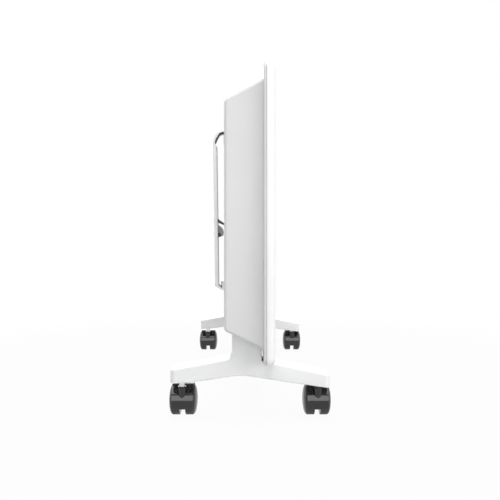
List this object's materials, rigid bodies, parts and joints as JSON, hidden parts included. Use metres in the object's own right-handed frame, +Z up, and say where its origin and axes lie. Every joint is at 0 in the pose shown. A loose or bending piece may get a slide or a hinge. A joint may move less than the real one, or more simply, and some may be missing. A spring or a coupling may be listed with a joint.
{
  "type": "convector heater",
  "caption": "White panel convector heater with a sloped rear casing, on T-shaped legs with swivelling twin-wheel casters, and a wall bracket latched to its back.",
  "frame": {"origin": "on the floor, under the middle of the heater", "axes": "+Z up, +X along the panel's width to the heater's right as seen from its front, front faces -Y"},
  "size_m": [0.64, 0.235, 0.4942],
  "materials": {
    "panel_enamel": "smooth white enamel",
    "casing_enamel": "fine textured white enamel",
    "grille_plastic": "matte black",
    "leg_plastic": "satin white",
    "control_plastic": "satin white",
    "caster_plastic": "glossy black",
    "wheel_plastic": "glossy black disc with a satin tread",
    "stem_chrome": "bright plated",
    "bright_steel": "bright zinc",
    "pin_black": "black plated",
    "bracket_steel": "white paint",
    "inner_steel": "dull zinc",
    "element_aluminium": "mill finish",
    "insulator_ceramic": "unglazed ceramic",
    "pad_rubber": "matte black",
    "latch_black": "matte black",
    "latch_grey": "satin grey",
    "switch_black": "fine matte black",
    "inner_grey": "matte grey",
    "terminal_white": "matte white",
    "lamp_lens": "clear red"
  },
  "bodies": {
    "heater": {"front_panel": "panel_enamel", "rear_casing": "casing_enamel", "outlet_grille": "grille_plastic", "leg_left": "leg_plastic", "leg_right": "leg_plastic", "control_housing": "control_plastic", "caster_stem_left_rear": "stem_chrome", "caster_stem_left_front": "stem_chrome", "caster_stem_right_rear": "stem_chrome", "caster_stem_right_front": "stem_chrome", "thermal_cutout": "bright_steel", "leg_screw_1": "bright_steel", "leg_screw_2": "bright_steel", "leg_screw_3": "bright_steel", "leg_screw_4": "bright_steel", "panel_screw_1": "bright_steel", "panel_screw_2": "bright_steel", "panel_screw_3": "bright_steel", "panel_screw_4": "bright_steel", "latch_pin_left": "pin_black", "latch_pin_right": "pin_black", "wall_bracket": "bracket_steel", "element_bracket_left": "inner_steel", "element_bracket_right": "inner_steel", "heating_rod": "inner_steel", "element_body": "element_aluminium", "insulator_left": "insulator_ceramic", "insulator_right": "insulator_ceramic", "hook_pad_left": "pad_rubber", "hook_pad_right": "pad_rubber", "latch_block_left": "latch_black", "latch_block_right": "latch_black", "switch_frame": "switch_black", "cord_gland": "switch_black", "gland_nut": "switch_black", "thermostat": "inner_grey", "tip_over_switch": "inner_grey", "terminal_block": "terminal_white", "power_lamp": "lamp_lens"},
    "knob": {"thermostat_knob": "control_plastic", "thermostat_shaft": "bright_steel"},
    "rocker": {"switch_rocker": "switch_black"},
    "latch_left": {"latch_cam_left": "latch_grey"},
    "latch_right": {"latch_cam_right": "latch_grey"},
    "caster_left_rear": {"caster_hood_left_rear": "caster_plastic", "caster_axle_left_rear": "bright_steel"},
    "wheel_left_rear_rear": {"caster_wheel_left_rear_rear": "wheel_plastic"},
    "wheel_left_rear_front": {"caster_wheel_left_rear_front": "wheel_plastic"},
    "caster_left_front": {"caster_hood_left_front": "caster_plastic", "caster_axle_left_front": "bright_steel"},
    "wheel_left_front_rear": {"caster_wheel_left_front_rear": "wheel_plastic"},
    "wheel_left_front_front": {"caster_wheel_left_front_front": "wheel_plastic"},
    "caster_right_rear": {"caster_hood_right_rear": "caster_plastic", "caster_axle_right_rear": "bright_steel"},
    "wheel_right_rear_rear": {"caster_wheel_right_rear_rear": "wheel_plastic"},
    "wheel_right_rear_front": {"caster_wheel_right_rear_front": "wheel_plastic"},
    "caster_right_front": {"caster_hood_right_front": "caster_plastic", "caster_axle_right_front": "bright_steel"},
    "wheel_right_front_rear": {"caster_wheel_right_front_rear": "wheel_plastic"},
    "wheel_right_front_front": {"caster_wheel_right_front_front": "wheel_plastic"}
  },
  "joints": [
    {"name": "thermostat_turn", "type": "hinge", "parent": "heater", "child": "knob", "pos_m": [0.306, 0.0084, 0.384], "axis": [1, 0, 0], "range_deg": [-270, 0]},
    {"name": "rocker_tilt", "type": "hinge", "parent": "heater", "child": "rocker", "pos_m": [0.3062, 0.0084, 0.338], "axis": [0, 1, 0], "range_deg": [-16, 0]},
    {"name": "latch_left_turn", "type": "hinge", "parent": "heater", "child": "latch_left", "pos_m": [-0.191, 0.0472, 0.2619], "axis": [1, 0, 0], "range_deg": [0, 50]},
    {"name": "latch_right_turn", "type": "hinge", "parent": "heater", "child": "latch_right", "pos_m": [0.191, 0.0472, 0.2619], "axis": [1, 0, 0], "range_deg": [0, 50]},
    {"name": "caster_left_rear_swivel", "type": "hinge", "parent": "heater", "child": "caster_left_rear", "pos_m": [-0.26, 0.097, 0.044], "axis": [0, 0, 1], "continuous": true},
    {"name": "wheel_left_rear_rear_roll", "type": "hinge", "parent": "caster_left_rear", "child": "wheel_left_rear_rear", "pos_m": [-0.24, 0.097, 0.022], "axis": [0, 1, 0], "continuous": true},
    {"name": "wheel_left_rear_front_roll", "type": "hinge", "parent": "caster_left_rear", "child": "wheel_left_rear_front", "pos_m": [-0.24, 0.097, 0.022], "axis": [0, 1, 0], "continuous": true},
    {"name": "caster_left_front_swivel", "type": "hinge", "parent": "heater", "child": "caster_left_front", "pos_m": [-0.26, -0.097, 0.044], "axis": [0, 0, 1], "continuous": true},
    {"name": "wheel_left_front_rear_roll", "type": "hinge", "parent": "caster_left_front", "child": "wheel_left_front_rear", "pos_m": [-0.24, -0.097, 0.022], "axis": [0, 1, 0], "continuous": true},
    {"name": "wheel_left_front_front_roll", "type": "hinge", "parent": "caster_left_front", "child": "wheel_left_front_front", "pos_m": [-0.24, -0.097, 0.022], "axis": [0, 1, 0], "continuous": true},
    {"name": "caster_right_rear_swivel", "type": "hinge", "parent": "heater", "child": "caster_right_rear", "pos_m": [0.26, 0.097, 0.044], "axis": [0, 0, 1], "continuous": true},
    {"name": "wheel_right_rear_rear_roll", "type": "hinge", "parent": "caster_right_rear", "child": "wheel_right_rear_rear", "pos_m": [0.28, 0.097, 0.022], "axis": [0, 1, 0], "continuous": true},
    {"name": "wheel_right_rear_front_roll", "type": "hinge", "parent": "caster_right_rear", "child": "wheel_right_rear_front", "pos_m": [0.28, 0.097, 0.022], "axis": [0, 1, 0], "continuous": true},
    {"name": "caster_right_front_swivel", "type": "hinge", "parent": "heater", "child": "caster_right_front", "pos_m": [0.26, -0.097, 0.044], "axis": [0, 0, 1], "continuous": true},
    {"name": "wheel_right_front_rear_roll", "type": "hinge", "parent": "caster_right_front", "child": "wheel_right_front_rear", "pos_m": [0.28, -0.097, 0.022], "axis": [0, 1, 0], "continuous": true},
    {"name": "wheel_right_front_front_roll", "type": "hinge", "parent": "caster_right_front", "child": "wheel_right_front_front", "pos_m": [0.28, -0.097, 0.022], "axis": [0, 1, 0], "continuous": true}
  ]
}
